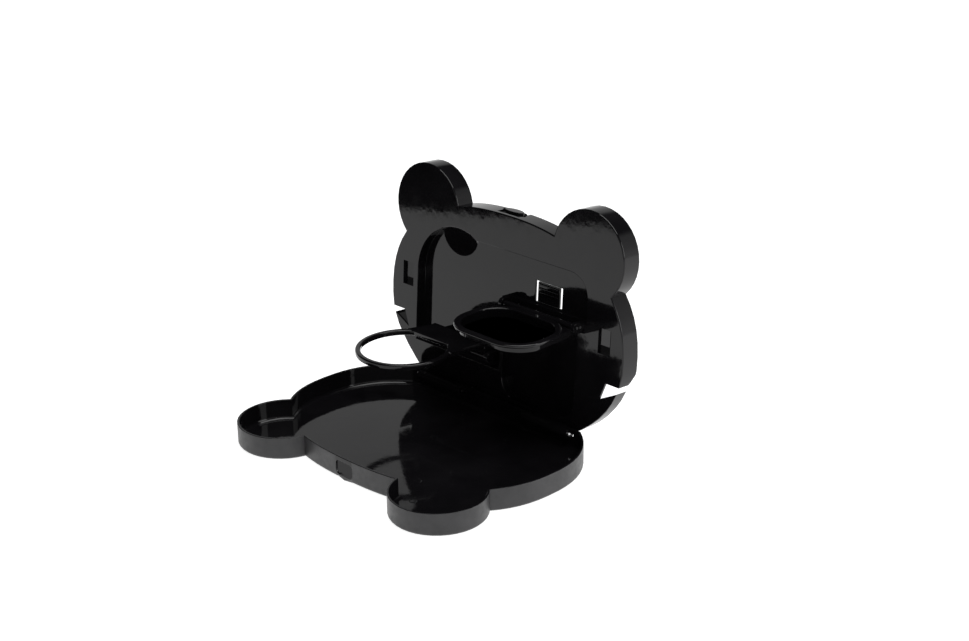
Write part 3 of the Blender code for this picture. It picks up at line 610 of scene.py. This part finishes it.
# --- Tray -----------------------------------------------------------------------------------
@dataclass
class Tray:
    """The flat moulding: polished inside, finely grained outside."""

    inside: PolishedPlastic
    outside: GrainedPlastic
    wall: float = 0.0020
    foot_radius: float = 0.0030
    under_radius: float = 0.0030
    rim_radius: float = 0.0005
    edge_radius: float = 0.0003
    above_under: float = 0.0034
    corner: float = math.radians(40.0)
    level: float = 0.1
    height: float = field(init=False)

    def __post_init__(self) -> None:
        """Read the tray's height from the CAD."""
        self.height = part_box("tray")[1].z

    def mark_outside(self, piece: bpy.types.Object) -> None:
        """Give the underside and the outer wall the second material.

        Args:
            piece: The tray, still with whole flat faces.
        """
        for face in piece.data.polygons:
            low = min(piece.data.vertices[index].co.z for index in face.vertices)
            upright = abs(face.normal.z) < 0.5
            downward = face.normal.z < -0.9
            if low < self.wall / 4 and (upright or downward):
                face.material_index = 1

    def on_foot(self, crease: Crease) -> bool:
        """Whether an edge runs round the tray's floor on the inside."""
        on_floor = abs(crease.middle.z - self.wall) < FLUSH
        return not crease.convex and on_floor and abs(crease.direction.z) < self.level

    def under_wall(self, crease: Crease) -> bool:
        """Whether an edge runs round the underside."""
        return crease.convex and crease.middle.z < FLUSH

    def on_rim(self, crease: Crease) -> bool:
        """Whether an edge runs along the top of the wall."""
        return crease.convex and abs(crease.middle.z - self.height) < FLUSH

    def on_other_edge(self, crease: Crease) -> bool:
        """Whether any other outer edge is left."""
        return crease.convex and crease.middle.z > self.above_under and crease.angle > self.corner

    def build(self) -> bpy.types.Object:
        """Model and dress the tray.

        Returns:
            The tray.
        """
        piece = copy_of_node("tray", "tray_moulding")
        dress(piece, self.inside.material(), self.outside.material())
        self.mark_outside(piece)
        for rounding in (
            Rounding(self.foot_radius, 5, self.on_foot),
            Rounding(self.under_radius, 5, self.under_wall),
            Rounding(self.rim_radius, 3, self.on_rim),
            Rounding(self.edge_radius, 2, self.on_other_edge),
        ):
            LOG.info("tray edges rounded: %d", round_edges(piece, rounding))
        smooth_by_angle(piece, SMOOTH)
        return hand_over(piece, Body.TRAY, Slot.TRAY, "tray")


@dataclass
class MouldingMarks:
    """Faint round marks that the mould's pins leave on the tray's floor."""

    finish: PolishedPlastic
    floor: float = 0.0020
    radius: float = 0.0032
    ring: float = 0.0007
    rise: float = 0.00015
    places: tuple[tuple[float, float], ...] = (
        (-0.121, -0.019), (-0.107, 0.036), (0.070, -0.079), (0.047, -0.053),
    )

    def mark(self, across: float, along: float) -> bpy.types.Object:
        """Model one mark as a low round ledge with a sunken middle.

        Args:
            across: Its place along the hinge.
            along: Its place from front to back.

        Returns:
            The mark.
        """
        deselect()
        bpy.ops.mesh.primitive_cylinder_add(vertices=40, radius=self.radius, depth=2 * self.rise,
                                            location=(across, along, self.floor))
        piece = bpy.context.object
        bpy.ops.object.mode_set(mode="EDIT")
        bpy.ops.mesh.select_mode(type="FACE")
        bpy.ops.mesh.select_all(action="DESELECT")
        work = bmesh.from_edit_mesh(piece.data)
        work.normal_update()
        for face in work.faces:
            face.select_set(face.normal.z > 0.9)
        bmesh.update_edit_mesh(piece.data)
        bpy.ops.mesh.inset(thickness=self.ring)
        bpy.ops.transform.translate(value=(0.0, 0.0, -0.7 * self.rise))
        bpy.ops.object.mode_set(mode="OBJECT")
        return piece

    def build(self) -> bpy.types.Object:
        """Model and dress the marks as one piece.

        Returns:
            The marks.
        """
        marks = [self.mark(across, along) for across, along in self.places]
        deselect()
        for mark in marks:
            mark.select_set(True)
        bpy.context.view_layer.objects.active = marks[0]
        bpy.ops.object.join()
        piece = bpy.context.object
        piece.name = "tray_moulding_marks"
        bring_home(piece)
        smooth_by_angle(piece, SMOOTH)
        dress(piece, self.finish.material())
        return hand_over(piece, Body.TRAY, Slot.TRAY)


# --- Holders and latch ----------------------------------------------------------------------
@dataclass
class RoundedMoulding:
    """A small moulding whose outer edges are all rounded, by a large radius where there is room."""

    node: str
    name: str
    body: Body
    slot: Slot
    finish: PolishedPlastic
    radii: tuple[float, ...] = (0.0008, 0.0003)
    steps: int = 3

    def build(self) -> bpy.types.Object:
        """Model and dress the piece.

        Returns:
            The piece.
        """
        piece = copy_of_node(self.node, self.name)
        for radius in self.radii:
            done = round_edges(piece, Rounding(radius, self.steps, lambda crease: crease.convex))
            LOG.info("%s edges rounded: %d", self.name, done)
        smooth_by_angle(piece, SMOOTH)
        dress(piece, self.finish.material())
        return hand_over(piece, self.body, self.slot, self.node)


@dataclass
class DressedNode:
    """A CAD node whose shape is right and that only needs its finish."""

    node: str
    finish: PolishedPlastic | DrawnSteel

    def build(self) -> bpy.types.Object:
        """Dress the node.

        Returns:
            The node's object.
        """
        piece = frame["nodes"][self.node]
        material = self.finish.material()
        for slot in piece.material_slots:
            slot.material = material
        LOG.info("%s has its finish", self.node)
        return piece


# --- Studio ---------------------------------------------------------------------------------
@dataclass
class Studio:
    """A white table in a bright room, dark on the left, with large soft lights."""

    target: Vector = field(default_factory=lambda: Vector((-0.0300, 0.0991, 0.0770)))
    azimuth: float = 45.98
    elevation: float = 21.67
    roll: float = -0.87
    distance: float = 1.569
    lens: float = 66.45
    sensor: float = 36.0
    left_edge: float = 0.71
    floor_reach: float = 6.0
    floor_glow: float = 2.15

    def camera(self) -> bpy.types.Object:
        """Add the camera.

        Returns:
            The camera.
        """
        a, e = math.radians(self.azimuth), math.radians(self.elevation)
        back = Vector((math.sin(a) * math.cos(e), -math.cos(a) * math.cos(e), math.sin(e)))
        right = Vector((math.cos(a), math.sin(a), 0.0))
        up = back.cross(right)
        turn = math.radians(self.roll)
        side = right * math.cos(turn) + up * math.sin(turn)
        top = back.cross(side)
        deselect()
        bpy.ops.object.camera_add(location=self.target + back * self.distance)
        camera = bpy.context.object
        camera.name = "studio_camera"
        camera.rotation_euler = Matrix((side, top, back)).transposed().to_euler()
        camera.data.lens = self.lens
        camera.data.sensor_width = self.sensor
        camera.data.clip_start = 0.05
        camera.data.clip_end = 60.0
        bpy.context.scene.camera = camera
        return camera

    def floor(self) -> bpy.types.Object:
        """Add the white table, which ends a little to the left of the tray.

        Returns:
            The table.
        """
        deselect()
        turn = math.radians(self.azimuth)
        bpy.ops.mesh.primitive_plane_add(size=2.0, location=(0.0, 0.0, -0.0002))
        floor = bpy.context.object
        floor.name = "studio_floor"
        right = Vector((math.cos(turn), math.sin(turn), 0.0))
        away = Vector((-math.sin(turn), math.cos(turn), 0.0))
        for vertex in floor.data.vertices:
            across = self.floor_reach if vertex.co.x > 0 else -self.left_edge
            along = self.floor_reach if vertex.co.y > 0 else -self.floor_reach
            vertex.co = right * across + away * along
        material, tree, shader, place = node_tree("white_table")
        shader.inputs["Roughness"].default_value = 0.7
        shader.inputs["IOR"].default_value = 1.2
        tone = two_tones(tree, noise(tree, place, 3.0, 2.0), (0.415, 0.415, 0.415), (0.425, 0.425, 0.425))
        tree.links.new(tone, shader.inputs["Base Color"])
        tree.links.new(tone, shader.inputs["Emission Color"])
        shader.inputs["Emission Strength"].default_value = self.floor_glow
        dress(floor, material)
        return floor

    def room(self) -> None:
        """Set the world: white for the camera; in reflections bright low down, dark above and on the left."""
        world = bpy.data.worlds.new("studio_room")
        world.use_nodes = True
        bpy.context.scene.world = world
        tree = world.node_tree
        tree.nodes.clear()
        place = tree.nodes.new("ShaderNodeTexCoord")
        parts = tree.nodes.new("ShaderNodeSeparateXYZ")
        tree.links.new(place.outputs["Generated"], parts.inputs["Vector"])
        rise = tree.nodes.new("ShaderNodeValToRGB")
        rise.color_ramp.interpolation = "EASE"
        stops = ((0.0, 0.90), (0.26, 0.62), (0.44, 0.50), (0.56, 0.03), (1.0, 0.02))
        ramp = rise.color_ramp.elements
        ramp[0].position, ramp[1].position = stops[0][0], stops[-1][0]
        ramp[0].color = (*(stops[0][1],) * 3, 1.0)
        ramp[1].color = (*(stops[-1][1],) * 3, 1.0)
        for position, level in stops[1:-1]:
            element = ramp.new(position)
            element.color = (level, level, level, 1.0)
        tree.links.new(parts.outputs["Z"], rise.inputs["Fac"])
        left = tree.nodes.new("ShaderNodeVectorMath")
        left.operation = "DOT_PRODUCT"
        turn = math.radians(self.azimuth)
        left.inputs[1].default_value = (-math.cos(turn), -math.sin(turn), 0.0)
        tree.links.new(place.outputs["Generated"], left.inputs[0])
        fade = tree.nodes.new("ShaderNodeMapRange")
        fade.interpolation_type = "SMOOTHSTEP"
        fade.inputs["From Min"].default_value = 0.55
        fade.inputs["From Max"].default_value = 0.80
        fade.inputs["To Min"].default_value = 1.0
        fade.inputs["To Max"].default_value = 0.015
        tree.links.new(left.outputs["Value"], fade.inputs["Value"])
        level = tree.nodes.new("ShaderNodeMath")
        level.operation = "MULTIPLY"
        tree.links.new(rise.outputs["Color"], level.inputs[0])
        tree.links.new(fade.outputs["Result"], level.inputs[1])
        seen = tree.nodes.new("ShaderNodeLightPath")
        pick = tree.nodes.new("ShaderNodeMix")
        pick.data_type = "FLOAT"
        tree.links.new(seen.outputs["Is Camera Ray"], pick.inputs["Factor"])
        tree.links.new(level.outputs["Value"], pick.inputs["A"])
        pick.inputs["B"].default_value = 1.05
        back = tree.nodes.new("ShaderNodeBackground")
        back.inputs["Color"].default_value = (1.0, 1.0, 1.0, 1.0)
        tree.links.new(pick.outputs["Result"], back.inputs["Strength"])
        out = tree.nodes.new("ShaderNodeOutputWorld")
        tree.links.new(back.outputs["Background"], out.inputs["Surface"])

    def soft_light(self, name: str, place: tuple[float, float, float], size: tuple[float, float],
                   power: float) -> None:
        """Add a large soft light aimed at the tray.

        Args:
            name: The light's name.
            place: Where it stands.
            size: Its width and height.
            power: Its power in watts.
        """
        deselect()
        bpy.ops.object.light_add(type="AREA", location=place)
        light = bpy.context.object
        light.name = name
        light.data.shape = "RECTANGLE"
        light.data.size, light.data.size_y = size
        light.data.energy = power
        aim = self.target - Vector(place)
        light.rotation_euler = aim.to_track_quat("-Z", "Y").to_euler()

    def build(self) -> None:
        """Add the table, the room, the lights and the camera."""
        self.floor()
        self.room()
        self.soft_light("overhead_light", (0.35, 0.10, 1.9), (1.8, 1.8), 42.0)
        self.soft_light("right_light", (1.9, 0.9, 0.75), (1.2, 1.0), 16.0)
        self.camera()
        settings = bpy.context.scene.view_settings
        settings.view_transform = "Standard"
        settings.look = "None"


# --- Assembly -------------------------------------------------------------------------------
def main() -> None:
    """Build every piece, the studio and the camera."""
    logging.basicConfig(level=logging.INFO, format="%(name)s: %(message)s")
    polish = PolishedPlastic("polished_black_shell")
    plane = ShellPlane()
    BackShell(plane, polish).build()
    Tray(PolishedPlastic("polished_black_tray"), GrainedPlastic("grained_black_tray")).build()
    MouldingMarks(PolishedPlastic("polished_black_marks")).build()
    RoundedMoulding("cup_ring", "ring_moulding", Body.RING, Slot.RING, PolishedPlastic("polished_black_ring"),
                    (0.0014, 0.0007, 0.0003), 4).build()
    RoundedMoulding("square_holder", "holder_moulding", Body.HOLDER, Slot.HOLDER,
                    PolishedPlastic("polished_black_holder"), (0.0012, 0.0006, 0.0003), 4).build()
    RoundedMoulding("snap_tongue", "tongue_moulding", Body.TONGUE, Slot.SHELL,
                    PolishedPlastic("polished_black_tongue"), (0.0003,), 2).build()
    RoundedMoulding("top_latch", "latch_moulding", Body.LATCH, Slot.LATCH,
                    PolishedPlastic("polished_black_latch"), (0.0006, 0.0003), 3).build()
    steel = DrawnSteel("drawn_steel_pins")
    for node in ("tray_hinge_pin_left", "tray_hinge_pin_right", "cup_ring_pin", "square_holder_pin_left",
                 "square_holder_pin_right", "top_latch_pin"):
        DressedNode(node, steel).build()
    for node in ("strap_bar_left", "strap_bar_right"):
        DressedNode(node, PolishedPlastic("polished_black_bar_" + node.rsplit("_", 1)[1])).build()
    Studio().build()


if __name__ == "__main__":
    main()
